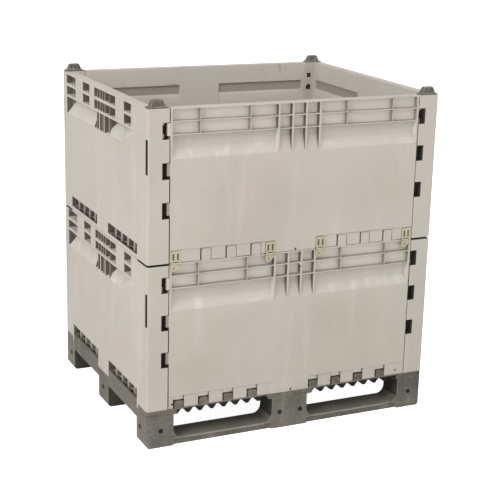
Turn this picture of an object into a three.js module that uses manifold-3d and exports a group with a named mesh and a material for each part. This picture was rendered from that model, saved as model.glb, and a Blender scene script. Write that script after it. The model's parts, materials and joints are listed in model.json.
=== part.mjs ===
import * as THREE from 'three';
import { mergeVertices } from 'three/addons/utils/BufferGeometryUtils.js';
import { ConvexGeometry } from 'three/addons/geometries/ConvexGeometry.js';
import Module from 'manifold-3d';

// Collapsible pallet box in two tiers, in millimetres. The origin is at the bottom centre,
// +X runs along the long side, +Y from the front side to the back, +Z up.

// Outline of the box
const boxLength = 1200;
const boxWidth = 1000;
const deckTop = 150;
const tierHeight = 570;

// Walls
const wallThickness = 40;
const wallSkin = 5;
const postWidth = 84;
const postCornerRadius = 10;
const wallGap = 4;
const seatGap = 0.3;
const tierGap = 1.5;
const rimHeight = 5;
const ribThickness = 4;
const fieldRibThickness = 3;
const fieldRibSetback = 1;
const ribPitch = 48;
const cellDepth = 27;
const longCellDepth = 20;
const recessHeight = 146;
const slopeHeight = 37;
const slopeEnd = 4;
const innerBandHeight = 77;
const grooveHeight = 39;
const grooveSlope = 14;
const innerSetback = 3;
const innerSkin = 6;
const hollowInset = 10;
const shaftWall = 15;
const hingeBeamHeight = 50;
const endRibWidth = 16;
const panelInset = 7;
const centreColumnHalf = 85;
const centreRibOffset = 28;
const fieldRibOffsets = [200, 397];

// Cells of the short walls, as spans along the wall
const shortCellSpans = [[-449, -328], [-235, -147], [-90, 158], [253, 331]];
const shortRibOffsets = [-28, 28, 85];
const shortPanelSpans = [[-438, -90], [52, 452]];
const shortPanelHips = [[60, 8], [90, 8]];
const shortRunOut = [226, 384];
const shortCellTops = [9, 55.5];
const shortCellTall = 36;
const shortThirdTop = 100;
const shortRibSetback = 3;
const shortSlopeHeight = 67;
const postTopGap = 6;
const postTopStart = 396;

// Hinge strips
const hingeHeight = 18;
const rodRadius = 4;
const boreClearance = 0.3;
const rodSides = 6;
const longStripEndInset = 19;
const longStripCentreInset = 8.5;
const longStripCount = 4;
const longRecessWidth = 45;
const longRecessPitch = 101.5;
const longRecessHeight = 30;
const tierRecessHeight = 47;
const longRecessDepth = 12;
const stripRecess = 2.5;
const stripRecessEnd = 3;
const knuckleClearance = 1.5;
const knuckleWideGap = 6;
const baseKnuckleHeight = 27;
const knuckleFront = 3;
const knuckleBack = 30;
const knuckleChamfer = 6;
const shortStripStart = 65;
const shortStripCount = 5;
const shortSlotWidth = 50;
const shortSlotPitch = 70;
const shortWindowBottom = 15;
const shortWindowTop = 57;
const stripSkin = 8;
const combFront = 12;
const combPlate = 26;
const combBack = 32;
const combHeight = 52;
const skirtDrop = 17;
const skirtHalf = 405;

// Notches in the post edges, with the hooks of the long walls in them
const notchHeights = [169, 314, 459];
const notchTall = 60;
const notchWide = 27;
const notchDeep = 34;
const hookWide = 8;
const hookTall = 46;
const hookDeep = 14;
const hookInset = 2;
const deepHookInset = 18;
const postSlotBottom = 334;
const postSlotTop = 460;
const postSlotWidth = 16;
const postSlotInset = 4;
const postSlotDeep = 34;
const postHoleHeights = [[450, 473], [504, 523]];
const postHoleInset = 6;
const postHoleWidth = 22;
const postHoleDeep = 12;

// Hinge clips between the tiers
const clipEndInset = 23;
const clipCentreInset = 21.5;
const clipWidth = 40;
const clipThickness = 4;
const clipUpperReach = 46;
const clipLowerReach = 30;
const clipNeck = 5;
const clipCorner = 5;
const clipShoulder = 12;
const clipFootWidth = 26;
const clipFootShift = -7;
const clipAxisProud = 1.5;
const clipBarrelRadius = 3.5;
const clipPinRadius = 1.5;
const clipBarrelSides = 8;
const clipKnuckle = 20;
const clipSlotWidth = 7;
const clipSlotOffset = 9;
const clipSlotBottom = 12;
const clipSlotTop = 36;
const clipHoleRadius = 3;
const clipHoleDrop = 19;

// Pallet base
const deckThickness = 22;
const deckRibPitch = 49;
const deckRibTip = 12;
const deckRibRoot = 38;
const deckRibDepth = 17;
const sideBeamDepth = 30;
const sideBeamBottom = 94;
const cornerFoot = 110;
const midFootLeft = -79;
const midFootRight = 75;
const skidWidth = 110;
const midSkidWidth = 120;
const runnerHeight = 30;
const runnerSetback = 10;
const runnerLip = 4;
const footChamfer = 10;
const windowFillet = 36;
const baseCornerRadius = 12;
const footHoleRadius = 6;
const footHoleHeight = 68;
const footHoleDepth = 14;
const sideHoleInset = 72;
const cornerHoleInset = 57;
const midHoleOffset = 45;
const centreHoleHeight = 7;
const centreHoleDepth = 10;
const centreHoleRadius = 4.5;
const pinHoleRadius = 4;
const pinHoleDepth = 10;
const pinHoleInsets = [14, 35];

// Stacking studs on the post tops
const studInset = 3;
const studHeight = 30;
const studFlange = 5;
const studDomeLength = 60;
const studDomeWidth = 30;
const studDraft = 10;
const studBossDrop = 12;
const studBossRadius = 9;

const wallColour = 0xc8c2b8;
const baseColour = 0x77736c;
const clipColour = 0xcdbb91;
const rodColour = 0x8d8b86;

const wasm = await Module();
wasm.setup();

// Solid made from a closed geometry
function solidOf(geometry) {
  const bare = geometry.clone();
  bare.deleteAttribute('normal');
  bare.deleteAttribute('uv');
  const merged = mergeVertices(bare, 1e-4);
  return new wasm.Manifold(new wasm.Mesh({
    numProp: 3,
    vertProperties: Float32Array.from(merged.attributes.position.array),
    triVerts: Uint32Array.from(merged.index.array),
  }));
}

function geometryOf(solid) {
  const mesh = solid.getMesh();
  const geometry = new THREE.BufferGeometry();
  geometry.setAttribute('position', new THREE.BufferAttribute(Float32Array.from(mesh.vertProperties), 3));
  geometry.setIndex(new THREE.BufferAttribute(Uint32Array.from(mesh.triVerts), 1));
  return geometry;
}

function box(x, y, z) {
  const geometry = new THREE.BoxGeometry(x[1] - x[0], y[1] - y[0], z[1] - z[0]);
  geometry.translate((x[0] + x[1]) / 2, (y[0] + y[1]) / 2, (z[0] + z[1]) / 2);
  return solidOf(geometry);
}

// Prism of an outline: along 'x' the outline is [y, z], along 'y' it is [x, z], along 'z' it is [x, y]
function prism(outline, axis, span) {
  const shape = outline instanceof THREE.Shape
    ? outline
    : new THREE.Shape(outline.map(([a, b]) => new THREE.Vector2(a, b)));
  const depth = span[1] - span[0];
  const geometry = new THREE.ExtrudeGeometry(shape, { depth, bevelEnabled: false, curveSegments: 4 });
  const turn = new THREE.Matrix4();
  const [right, ahead, up] = [[1, 0, 0], [0, 1, 0], [0, 0, 1]].map((v) => new THREE.Vector3(...v));
  if (axis === 'x') {
    turn.makeBasis(ahead, up, right).setPosition(span[0], 0, 0);
  } else if (axis === 'y') {
    turn.makeBasis(right, up, ahead.clone().negate()).setPosition(0, span[1], 0);
  } else {
    turn.setPosition(0, 0, span[0]);
  }
  return solidOf(geometry.applyMatrix4(turn));
}

function hull(points) {
  return solidOf(new ConvexGeometry(points.map((p) => new THREE.Vector3(...p))));
}

// Round bar along the x axis
function bar(radius, span, y, z, sides = rodSides) {
  const geometry = new THREE.CylinderGeometry(radius, radius, span[1] - span[0], sides);
  geometry.rotateZ(Math.PI / 2);
  geometry.translate((span[0] + span[1]) / 2, y, z);
  return solidOf(geometry);
}

function addAll(solid, extras) {
  return extras.reduce((sum, extra) => sum.add(extra), solid);
}

function cutAll(solid, tools) {
  return tools.reduce((rest, tool) => rest.subtract(tool), solid);
}

const root = new THREE.Group();

function place(name, solid, colour, position = [0, 0, 0], turn = 0) {
  const material = new THREE.MeshStandardMaterial({ color: colour, roughness: 0.6, metalness: 0 });
  const mesh = new THREE.Mesh(geometryOf(solid), material);
  mesh.name = name;
  mesh.position.set(...position);
  mesh.rotation.z = turn;
  root.add(mesh);
}

// Shared places, worked out from the sizes above
const halfLength = boxLength / 2;
const halfWidth = boxWidth / 2;
const longHalf = halfLength - postWidth - wallGap;
const slopeTop = tierHeight - recessHeight;
const slopeBottom = slopeTop - slopeHeight;
const innerBandBottom = tierHeight - innerBandHeight;
const grooveBottom = innerBandBottom - grooveHeight;
const midDepth = wallThickness / 2;
const boreRadius = rodRadius + boreClearance;

const clipCentres = [clipEndInset - longHalf, -centreColumnHalf - clipCentreInset,
  centreColumnHalf + clipCentreInset, longHalf - clipEndInset];
const longStripStarts = [longStripEndInset - longHalf, centreColumnHalf - longStripCentreInset];
const longRecessCentres = longStripStarts.flatMap((start) =>
  Array.from({ length: longStripCount }, (_, i) => start + longRecessWidth / 2 + i * longRecessPitch));
const tierRecessCentres = longRecessCentres.filter((centre) =>
  clipCentres.every((clip) => Math.abs(clip - centre) > (clipWidth + longRecessWidth) / 2));
const longStripSpans = longStripStarts.map((start) =>
  [start - 4, start + (longStripCount - 1) * longRecessPitch + longRecessWidth + 20]);
const shortStripEnd = shortStripStart + (shortStripCount - 1) * shortSlotPitch + shortSlotWidth;
const shortStripSpans = [[-shortStripEnd, -shortStripStart], [shortStripStart, shortStripEnd]];

// A wall's own frame: x along the wall, y inwards from its outer face, z up from the tier's bottom

// Relief of a wall's inner face: a groove under the rim band, and a slope from it to the inner skin
function innerRelief(panel) {
  const span = [panel[0] + panelInset, panel[1] - panelInset];
  const [sheet, skin, out] = [cellDepth + wallSkin, wallThickness - innerSetback, wallThickness + 1];
  const slopeEdge = grooveBottom - grooveSlope;
  return prism([
    [sheet, innerBandBottom], [sheet, grooveBottom], [skin, slopeEdge], [skin, hingeBeamHeight],
    [out, hingeBeamHeight], [out, innerBandBottom],
  ], 'x', span);
}

// Hollow between the skins of a panel, open to the shaft that runs down to the wall's lower edge
function panelHollow(panel, slopeBottom) {
  const back = wallThickness - innerSetback - innerSkin;
  return box([panel[0] + panelInset, panel[1] - panelInset], [wallSkin, back],
    [shortWindowTop + hollowInset, slopeBottom - hollowInset]);
}

// Sloped top of a flush lower panel, hipped at both ends
function slopedCap(span, leftHip, rightHip, slopeBottom, slopeTop, depth) {
  return hull([
    [span[0], 0, slopeBottom - 1], [span[1], 0, slopeBottom - 1],
    [span[0], 0, slopeBottom], [span[1], 0, slopeBottom],
    [span[0], depth + 1, slopeBottom - 1], [span[1], depth + 1, slopeBottom - 1],
    [span[0] + leftHip, depth + 1, slopeTop], [span[1] - rightHip, depth + 1, slopeTop],
  ]);
}

// End of a short wall's sloped recess, which runs out to the outer face
function runOut(slopeBottom, slopeTop) {
  const [from, to] = shortRunOut;
  const back = cellDepth + 1;
  return addAll(hull([
    [from, 0, slopeBottom], [from, cellDepth, slopeTop + 1], [to, 0, slopeTop + 1], [to, 0, slopeBottom],
    [from, back, slopeBottom], [from, back, slopeTop + 1], [to, back, slopeTop + 1], [to, back, slopeBottom],
  ]), [box([to - 1, shortPanelSpans[1][1]], [0, back], [slopeBottom - 1, slopeTop + 1])]);
}

// Outline of a clip's upper or lower leaf in [x, z], with z = 0 at the hinge axis
function clipOutline(lower, grow) {
  const half = clipWidth / 2 + grow;
  if (!lower) {
    const top = clipUpperReach + grow;
    return [[-half, 0], [half, 0], [half, top - clipCorner], [half - clipCorner, top],
      [clipCorner - half, top], [-half, top - clipCorner]];
  }
  const foot = clipFootWidth / 2 + grow;
  const [left, right] = [clipFootShift - foot, clipFootShift + foot];
  const bottom = -clipLowerReach - grow;
  return [[half, 0], [-half, 0], [-half, -clipShoulder - grow], [left, bottom + clipCorner],
    [left + clipCorner, bottom], [right - clipCorner, bottom], [right, bottom + clipCorner],
    [half, -clipShoulder - grow]];
}

// Pocket for a clip leaf in a wall's outer face, open at the tier joint
function clipPocket(centre, lower, joint) {
  const outline = clipOutline(lower, seatGap).map(([x, z]) => [x + centre, z + joint]);
  const half = clipWidth / 2 + seatGap;
  return prism(outline, 'y', [-1, clipThickness + seatGap])
    .add(box([centre - half, centre + half], [-1, clipThickness + seatGap], [joint - 1, joint + 1]));
}

function longWall(lower) {
  const bottom = lower ? 0 : tierGap;
  const top = tierHeight;
  const edges = [-longHalf, longHalf];
  let wall = box(edges, [0, wallThickness], [bottom, top]);
  const field = [-longHalf + endRibWidth / 2, longHalf - endRibWidth / 2];
  wall = wall.subtract(box(field, [-1, longCellDepth], [slopeBottom, top - rimHeight]));
  const panels = [[field[0] - 1, -centreColumnHalf], [centreColumnHalf, field[1] + 1]];
  wall = addAll(wall, panels.map((span) => slopedCap(span, slopeEnd, slopeEnd, slopeBottom, slopeTop, longCellDepth)));
  const ribs = [1, 2].map((row) => {
    const middle = top - row * ribPitch;
    return box([field[0] - 1, field[1] + 1], [0, longCellDepth + 1], [middle - ribThickness / 2, middle + ribThickness / 2]);
  });
  fieldRibOffsets.flatMap((offset) => [-offset, offset]).forEach((x) => {
    ribs.push(box([x - fieldRibThickness / 2, x + fieldRibThickness / 2], [fieldRibSetback, longCellDepth + 1],
      [top - 2 * ribPitch, top - 1]));
  });
  [-centreColumnHalf, -centreRibOffset, centreRibOffset, centreColumnHalf].forEach((x) => {
    ribs.push(box([x - ribThickness, x + ribThickness], [0, longCellDepth + 1], [slopeBottom - 1, top - 1]));
  });
  wall = addAll(wall, ribs);
  wall = cutAll(wall, panels.map(innerRelief));

  // Hollow of the panel, open at the bottom of the centre column
  const shaft = longStripStarts[1] - shaftWall;
  wall = wall.subtract(panelHollow([panels[0][0], panels[1][1]], slopeBottom));
  wall = wall.subtract(box([-shaft, shaft], [wallSkin, wallThickness - wallSkin - innerSetback],
    [bottom - 1, slopeBottom - hollowInset]));

  // Recesses of the hinge strip, open at the bottom where the knuckles come up
  const centres = lower ? longRecessCentres : tierRecessCentres;
  const half = longRecessWidth / 2;
  wall = cutAll(wall, centres.flatMap((centre) => [
    box([centre - half, centre + half], [-1, longRecessDepth], [bottom + 2, hingeBeamHeight - 1]),
    box([centre - half, centre + half], [-1, wallThickness + 1],
      [bottom - 1, lower ? longRecessHeight : tierRecessHeight]),
  ]));
  wall = wall.subtract(dimple(centreHoleRadius, 0, bottom + centreHoleHeight, [-1, centreHoleDepth]));
  wall = cutAll(wall, [-1, 1].map((side) => {
    const strip = [side * centreColumnHalf, side * (longHalf - stripRecessEnd)].sort((a, b) => a - b);
    return box(strip, [-1, stripRecess], [bottom - 1, hingeBeamHeight]);
  }));

  // Hooks that lie in the notches of the posts
  wall = addAll(wall, notchHeights.flatMap((height) => [-1, 1].map((side) => {
    const reach = [side * (longHalf - 1), side * (longHalf + wallGap + hookWide)].sort((a, b) => a - b);
    const hookTop = height + notchTall - hookInset;
    const front = side < 0 ? hookInset : deepHookInset;
    return box(reach, [front, front + hookDeep], [hookTop - hookTall, hookTop]);
  })));

  if (lower) {
    wall = cutAll(wall, [pinHoleInsets[0] - longHalf, longHalf - pinHoleInsets[1]].map((x) =>
      dimple(pinHoleRadius, x, hingeHeight, [-1, pinHoleDepth])));
    const knuckleTop = tierRecessHeight - knuckleClearance;
    wall = addAll(wall, tierRecessCentres.map((centre) => knuckle(centre, top - 1, top, knuckleTop)));
    wall = cutAll(wall, longStripSpans.map((span) =>
      bar(boreRadius, [span[0] - 1, span[1] + 1], midDepth, hingeHeight)));
    return cutAll(wall, clipCentres.map((x) => clipPocket(x, true, top)));
  }
  return cutAll(wall, clipCentres.map((x) => clipPocket(x, false, 0)));
}

// Small round hole in an outer face, across the wall
function dimple(radius, x, z, [from, to]) {
  const hole = new THREE.CylinderGeometry(radius, radius, to - from, 10);
  hole.translate(x, (from + to) / 2, z);
  return solidOf(hole);
}

// Hinge knuckle that stands in a recess of the wall above, with the wide gap on its left
function knuckle(centre, from, seat, height) {
  const left = centre - longRecessWidth / 2 + knuckleWideGap;
  const right = centre + longRecessWidth / 2 - knuckleClearance;
  const shoulder = seat + height - knuckleChamfer;
  return prism([
    [left, from], [right, from], [right, shoulder], [right - knuckleChamfer, seat + height],
    [left + knuckleChamfer, seat + height], [left, shoulder],
  ], 'y', [knuckleFront, knuckleBack]);
}

// Comb of hinge fingers behind the windows of a short wall's strip
function comb(span, from, seat) {
  const fingerWidth = shortSlotPitch - shortSlotWidth;
  const ends = [span[0] + knuckleClearance, span[1] - knuckleClearance];
  const fingers = Array.from({ length: shortStripCount - 1 }, (_, i) => {
    const left = span[0] + shortSlotWidth + i * shortSlotPitch;
    return box([left, left + fingerWidth], [combFront, combPlate + 1], [from, seat + combHeight]);
  });
  const plate = box(ends, [combPlate, combBack], [from, seat + combHeight]);
  return addAll(plate, fingers).subtract(bar(boreRadius, [ends[0] - 1, ends[1] + 1], midDepth, seat + hingeHeight));
}

function shortWall(lower) {
  const bottom = lower ? seatGap : tierGap;
  const top = tierHeight;
  const plain = halfWidth - wallThickness;
  const corner = new THREE.Shape();
  corner.moveTo(-halfWidth + postCornerRadius, 0);
  corner.lineTo(halfWidth - postCornerRadius, 0);
  corner.absarc(halfWidth - postCornerRadius, postCornerRadius, postCornerRadius, -Math.PI / 2, 0);
  corner.lineTo(halfWidth, postWidth);
  corner.lineTo(plain, postWidth);
  corner.lineTo(plain, wallThickness);
  corner.lineTo(-plain, wallThickness);
  corner.lineTo(-plain, postWidth);
  corner.lineTo(-halfWidth, postWidth);
  corner.lineTo(-halfWidth, postCornerRadius);
  corner.absarc(-halfWidth + postCornerRadius, postCornerRadius, postCornerRadius, Math.PI, 1.5 * Math.PI);
  let wall = prism(corner, 'z', [bottom, top]);
  if (lower) {
    wall = wall.add(box([-skirtHalf, skirtHalf], [0, wallThickness], [-skirtDrop, bottom + 1]));
  }

  // Rows of open cells, with the two hipped panels below them
  wall = cutAll(wall, shortCellSpans.flatMap((span) => shortCellTops.map((drop) =>
    box(span, [-1, cellDepth], [top - drop - shortCellTall, top - drop]))));
  const slopeStart = top - shortThirdTop;
  const slopeFoot = slopeStart - shortSlopeHeight;
  const third = [shortCellSpans[0][0], shortPanelSpans[1][1] - 1];
  wall = wall.subtract(box(third, [-1, cellDepth], [slopeFoot, slopeStart]));
  wall = addAll(wall, shortPanelSpans.map((span, i) =>
    slopedCap(span, shortPanelHips[i][0], shortPanelHips[i][1], slopeFoot, slopeStart, cellDepth)));
  wall = wall.add(runOut(slopeFoot, slopeStart));
  wall = addAll(wall, shortRibOffsets.flatMap((x) => [
    box([x - ribThickness, x + ribThickness], [0, cellDepth + 1], [slopeFoot - 1, slopeStart + 1]),
    box([x - ribThickness, x + ribThickness], [shortRibSetback, cellDepth + 1],
      [slopeStart, top - shortCellTops[0] + 1]),
  ]));
  wall = cutAll(wall, shortPanelSpans.map(innerRelief));

  // Hollow of the panel, open at the bottom between the two hinge strips
  const shaft = shortStripStart - shaftWall;
  const [[farEnd], [, nearEnd]] = shortPanelSpans;
  wall = wall.subtract(panelHollow([farEnd, nearEnd], slopeFoot));
  wall = wall.subtract(box([-shaft, shaft], [wallSkin, wallThickness - wallSkin - innerSetback],
    [-skirtDrop - 1, slopeFoot - hollowInset]));

  // Windows of the hinge strip, with room for the comb behind them
  wall = cutAll(wall, shortStripSpans.flatMap((span) => [
    box(span, [-1, wallThickness + 1], [shortWindowBottom, shortWindowTop]),
    box(span, [stripSkin, wallThickness + 1], [-skirtDrop - 1, shortWindowTop]),
    bar(boreRadius, [span[0] - 12, span[1] + 12], midDepth, hingeHeight),
  ]));

  // Notches for the hooks, and the long slot beside the corner
  [-1, 1].forEach((side) => {
    const outer = [side * (halfWidth - notchDeep), side * (halfWidth + 1)].sort((a, b) => a - b);
    wall = cutAll(wall, notchHeights.map((height) =>
      box(outer, [postWidth - notchWide, postWidth + 1], [height, height + notchTall])));
    const slotEdge = halfWidth - postSlotInset;
    const slot = [side * (slotEdge - postSlotWidth), side * slotEdge].sort((a, b) => a - b);
    wall = wall.subtract(box(slot, [-1, postSlotDeep], [postSlotBottom, postSlotTop]));
    const inner = [side * (plain - 1), side * (plain + postHoleDeep)].sort((a, b) => a - b);
    const holeBack = postWidth - postHoleInset;
    wall = cutAll(wall, postHoleHeights.map((heights) => box(inner, [holeBack - postHoleWidth, holeBack], heights)));
    if (!lower) {
      wall = wall.subtract(studSocket(side));
    }
  });
  if (lower) {
    const posts = [[-halfWidth - 1, -postTopStart], [postTopStart, halfWidth + 1]];
    wall = cutAll(wall, posts.map((span) => box(span, [-1, postWidth + 1], [top - postTopGap, top + 1])));
    wall = addAll(wall, shortStripSpans.map((span) => comb(span, top - 1, top)));
  }
  return wall;
}

// Round socket in a post top that takes the boss of a stud
function studSocket(side) {
  const hole = new THREE.CylinderGeometry(studBossRadius + seatGap, studBossRadius + seatGap, studBossDrop + 2, 12);
  hole.rotateX(Math.PI / 2);
  hole.translate(side * (halfWidth - midDepth), postWidth / 2, tierHeight - (studBossDrop + 2) / 2 + 1);
  return solidOf(hole);
}

function stud() {
  const [x, y] = [postWidth / 2 - studInset, wallThickness / 2 - studInset];
  const flange = box([-x, x], [-y, y], [0, studFlange]);
  const [a, b] = [studDomeLength / 2, studDomeWidth / 2];
  const [c, d] = [a - studDraft, b - studDraft / 2];
  const dome = hull([
    [-a, -b, 1], [a, -b, 1], [a, b, 1], [-a, b, 1], [-a, -b, studFlange], [a, -b, studFlange],
    [a, b, studFlange], [-a, b, studFlange],
    [-c, -d, studHeight], [c, -d, studHeight], [c, d, studHeight], [-c, d, studHeight],
  ]);
  const boss = new THREE.CylinderGeometry(studBossRadius, studBossRadius, studBossDrop, 12);
  boss.rotateX(Math.PI / 2);
  boss.translate(0, 0, 1 - studBossDrop / 2);
  return addAll(flange, [dome, solidOf(boss)]);
}

// Clip leaves, in the frame of the wall with z = 0 at the hinge axis
function clipKnuckles(spans, reach) {
  return spans.flatMap((span) => [
    bar(clipBarrelRadius, span, -clipAxisProud, 0, clipBarrelSides),
    box(span, [-clipAxisProud, 2], reach),
  ]);
}

function boredClip(leaf) {
  return leaf.subtract(bar(clipPinRadius + seatGap, [-clipWidth, clipWidth], -clipAxisProud, 0));
}

function clipUpper() {
  const half = clipWidth / 2;
  const inner = clipKnuckle / 2 + seatGap;
  let leaf = prism(clipOutline(false, 0), 'y', [0, clipThickness])
    .subtract(box([-half - 1, half + 1], [-1, clipThickness + 1], [-1, clipNeck]));
  leaf = addAll(leaf, clipKnuckles([[-half, -inner], [inner, half]], [0, clipNeck + 1]));
  leaf = cutAll(leaf, [-clipSlotOffset, clipSlotOffset].map((x) =>
    box([x - clipSlotWidth / 2, x + clipSlotWidth / 2], [-1, clipThickness + 1], [clipSlotBottom, clipSlotTop])));
  return boredClip(leaf);
}

function clipLower() {
  const half = clipWidth / 2;
  let leaf = prism(clipOutline(true, 0), 'y', [0, clipThickness])
    .subtract(box([-half - 1, half + 1], [-1, clipThickness + 1], [-clipNeck, 1]));
  leaf = addAll(leaf, clipKnuckles([[-clipKnuckle / 2, clipKnuckle / 2]], [-clipNeck - 1, 0]));
  const hole = new THREE.CylinderGeometry(clipHoleRadius, clipHoleRadius, clipThickness + 2, 10);
  hole.translate(clipFootShift, clipThickness / 2, -clipHoleDrop);
  return boredClip(leaf.subtract(solidOf(hole)));
}

// Outline of the base seen from above, with rounded corners
function basePlan() {
  const r = baseCornerRadius;
  const [x, y] = [halfLength - r, halfWidth - r];
  const outline = new THREE.Shape();
  outline.moveTo(-x, -halfWidth);
  outline.absarc(x, -y, r, -Math.PI / 2, 0);
  outline.absarc(x, y, r, 0, Math.PI / 2);
  outline.absarc(-x, y, r, Math.PI / 2, Math.PI);
  outline.absarc(-x, -y, r, Math.PI, 1.5 * Math.PI);
  return prism(outline, 'z', [-1, deckTop + 1]);
}

// One skid of the pallet base: three feet on a runner, with its outer side at y
function skid(y, depth) {
  const top = deckTop - deckThickness;
  const r = windowFillet;
  const shape = new THREE.Shape();
  shape.moveTo(-halfLength, footChamfer);
  shape.lineTo(-halfLength + footChamfer, 0);
  shape.lineTo(halfLength - footChamfer, 0);
  shape.lineTo(halfLength, footChamfer);
  shape.lineTo(halfLength, top);
  const openings = [[midFootRight, halfLength - cornerFoot], [-halfLength + cornerFoot, midFootLeft]];
  openings.forEach(([left, right]) => {
    shape.lineTo(right, top);
    shape.absarc(right - r, runnerHeight + r, r, 0, -Math.PI / 2, true);
    shape.absarc(left + r, runnerHeight + r, r, 1.5 * Math.PI, Math.PI, true);
    shape.lineTo(left, top);
  });
  shape.lineTo(-halfLength, top);
  const body = prism(shape, 'y', [0, depth]);
  const setbacks = openings.flatMap(([left, right]) => [[-1, runnerSetback], [depth - runnerSetback, depth + 1]]
    .map((side) => box([left, right], side, [-1, runnerHeight - runnerLip])));
  const holes = [cornerHoleInset - halfLength, -midHoleOffset, midHoleOffset, halfLength - cornerHoleInset]
    .flatMap((x) => [[-1, footHoleDepth], [depth - footHoleDepth, depth + 1]]
      .map((span) => dimple(footHoleRadius, x, footHoleHeight, span)));
  const sideHoles = [-1, 1].map((end) => {
    const span = [end * (halfLength - footHoleDepth), end * (halfLength + 1)].sort((a, b) => a - b);
    return bar(footHoleRadius, span, sideHolePlace(y, depth), footHoleHeight, 10);
  });
  return cutAll(body, [...setbacks, ...holes, ...sideHoles]).intersect(basePlan().translate([0, -y, 0]));
}

// Place of the side hole across a skid: in its middle, or set in from the base's long side
function sideHolePlace(y, depth) {
  if (y < -halfWidth + 1) {
    return sideHoleInset;
  }
  return y > 0 ? depth - sideHoleInset : depth / 2;
}

const skidPlaces = {
  front: [-halfWidth, skidWidth],
  middle: [-midSkidWidth / 2, midSkidWidth],
  back: [halfWidth - skidWidth, skidWidth],
};

function deck() {
  const under = deckTop - deckThickness;
  let body = box([-halfLength, halfLength], [-halfWidth, halfWidth], [under, deckTop]);

  // Ribs of the underside, in both fork windows
  const windows = [[-halfLength + cornerFoot, midFootLeft], [midFootRight, halfLength - cornerFoot]];
  const grooves = windows.flatMap(([left, right]) => {
    const count = Math.floor((right - left) / deckRibPitch);
    const start = left + (right - left - count * deckRibPitch) / 2;
    return Array.from({ length: count }, (_, i) => {
      const [low, high] = [start + i * deckRibPitch, start + (i + 1) * deckRibPitch];
      return prism([
        [low + deckRibTip / 2, under - 1], [high - deckRibTip / 2, under - 1], [high - deckRibTip / 2, under],
        [high - deckRibRoot / 2, under + deckRibDepth], [low + deckRibRoot / 2, under + deckRibDepth],
        [low + deckRibTip / 2, under],
      ], 'y', [-halfWidth - 1, halfWidth + 1]);
    });
  });
  body = cutAll(body, grooves).intersect(basePlan());

  // Beams of the short sides, between the feet
  const between = [
    [skidPlaces.front[0] + skidWidth + seatGap, skidPlaces.middle[0] - seatGap],
    [skidPlaces.middle[0] + midSkidWidth + seatGap, skidPlaces.back[0] - seatGap],
  ];
  const seat = deckTop - skirtDrop - seatGap;
  [-1, 1].forEach((side) => {
    const beam = [side * (halfLength - sideBeamDepth), side * halfLength].sort((a, b) => a - b);
    const ledge = [side * (halfLength - wallThickness - seatGap), side * (halfLength + 1)].sort((a, b) => a - b);
    body = addAll(body, between.map((span) => box(beam, span, [sideBeamBottom, under + 1])));
    body = body.subtract(box(ledge, [-skirtHalf - seatGap, skirtHalf + seatGap], [seat, deckTop + 1]));
  });

  // Hinge knuckles of the long sides and combs of the short sides
  const [first, ...others] = longRecessCentres.map((centre) => knuckle(centre, -1, 0, baseKnuckleHeight));
  const longKnuckles = addAll(first, others)
    .subtract(bar(boreRadius, [-longHalf, longHalf], midDepth, hingeHeight));
  const combs = shortStripSpans.map((span) => comb(span, -skirtDrop - 1, 0));
  body = body.add(longKnuckles.translate([0, -halfWidth, deckTop]));
  body = body.add(longKnuckles.rotate([0, 0, 180]).translate([0, halfWidth, deckTop]));
  combs.forEach((piece) => {
    body = body.add(piece.rotate([0, 0, -90]).translate([-halfLength, 0, deckTop]));
    body = body.add(piece.rotate([0, 0, 90]).translate([halfLength, 0, deckTop]));
  });
  return body;
}

place('pallet_deck', deck(), baseColour);
Object.entries(skidPlaces).forEach(([name, [y, depth]]) => {
  place(`skid_${name}`, skid(y, depth), baseColour, [0, y, 0]);
});

const tiers = { lower: deckTop, upper: deckTop + tierHeight };
const sides = {
  front: { wall: longWall, position: [0, -halfWidth], turn: 0 },
  back: { wall: longWall, position: [0, halfWidth], turn: Math.PI },
  left: { wall: shortWall, position: [-halfLength, 0], turn: -Math.PI / 2 },
  right: { wall: shortWall, position: [halfLength, 0], turn: Math.PI / 2 },
};
Object.entries(tiers).forEach(([tier, z]) => {
  const solids = new Map([longWall, shortWall].map((make) => [make, make(tier === 'lower')]));
  Object.entries(sides).forEach(([side, { wall, position, turn }]) => {
    place(`${tier}_${side}_wall`, solids.get(wall), wallColour, [...position, z], turn);
  });
});

// Hinge rods: along the long sides at the base, along the short sides at the base and between the tiers
const longRods = longStripSpans.map(([left, right]) => bar(rodRadius, [left, right], midDepth, hingeHeight));
const shortRods = shortStripSpans.map(([left, right]) =>
  bar(rodRadius, [left - 10, right + 10], midDepth, hingeHeight));
Object.entries(sides).forEach(([side, { wall, position, turn }]) => {
  const rods = wall === longWall ? longRods : shortRods;
  rods.forEach((rod, i) => {
    place(`${side}_base_rod_${i + 1}`, rod, rodColour, [...position, deckTop], turn);
    if (wall === shortWall) {
      place(`${side}_tier_rod_${i + 1}`, rod, rodColour, [...position, tiers.upper], turn);
    }
  });
});

const clipPieces = {
  clip_leaf: [clipUpper(), clipColour],
  clip_base: [clipLower(), clipColour],
  clip_pin: [bar(clipPinRadius, [-clipWidth / 2, clipWidth / 2], -clipAxisProud, 0), rodColour],
};
['front', 'back'].forEach((side) => {
  const facing = side === 'front' ? 1 : -1;
  clipCentres.forEach((x, i) => {
    Object.entries(clipPieces).forEach(([name, [solid, colour]]) => {
      place(`${side}_${name}_${i + 1}`, solid, colour,
        [facing * x, -facing * halfWidth, tiers.upper], sides[side].turn);
    });
  });
});

const studSolid = stud();
['front', 'back'].forEach((side) => {
  [['left', -1], ['right', 1]].forEach(([end, direction]) => {
    const facing = side === 'front' ? -1 : 1;
    place(`${side}_${end}_stud`, studSolid, baseColour,
      [direction * (halfLength - postWidth / 2), facing * (halfWidth - midDepth), tiers.upper + tierHeight]);
  });
});

export default root;
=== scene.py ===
import bmesh
import bpy
import json
import math
from mathutils import Matrix, Vector, noise


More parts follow.
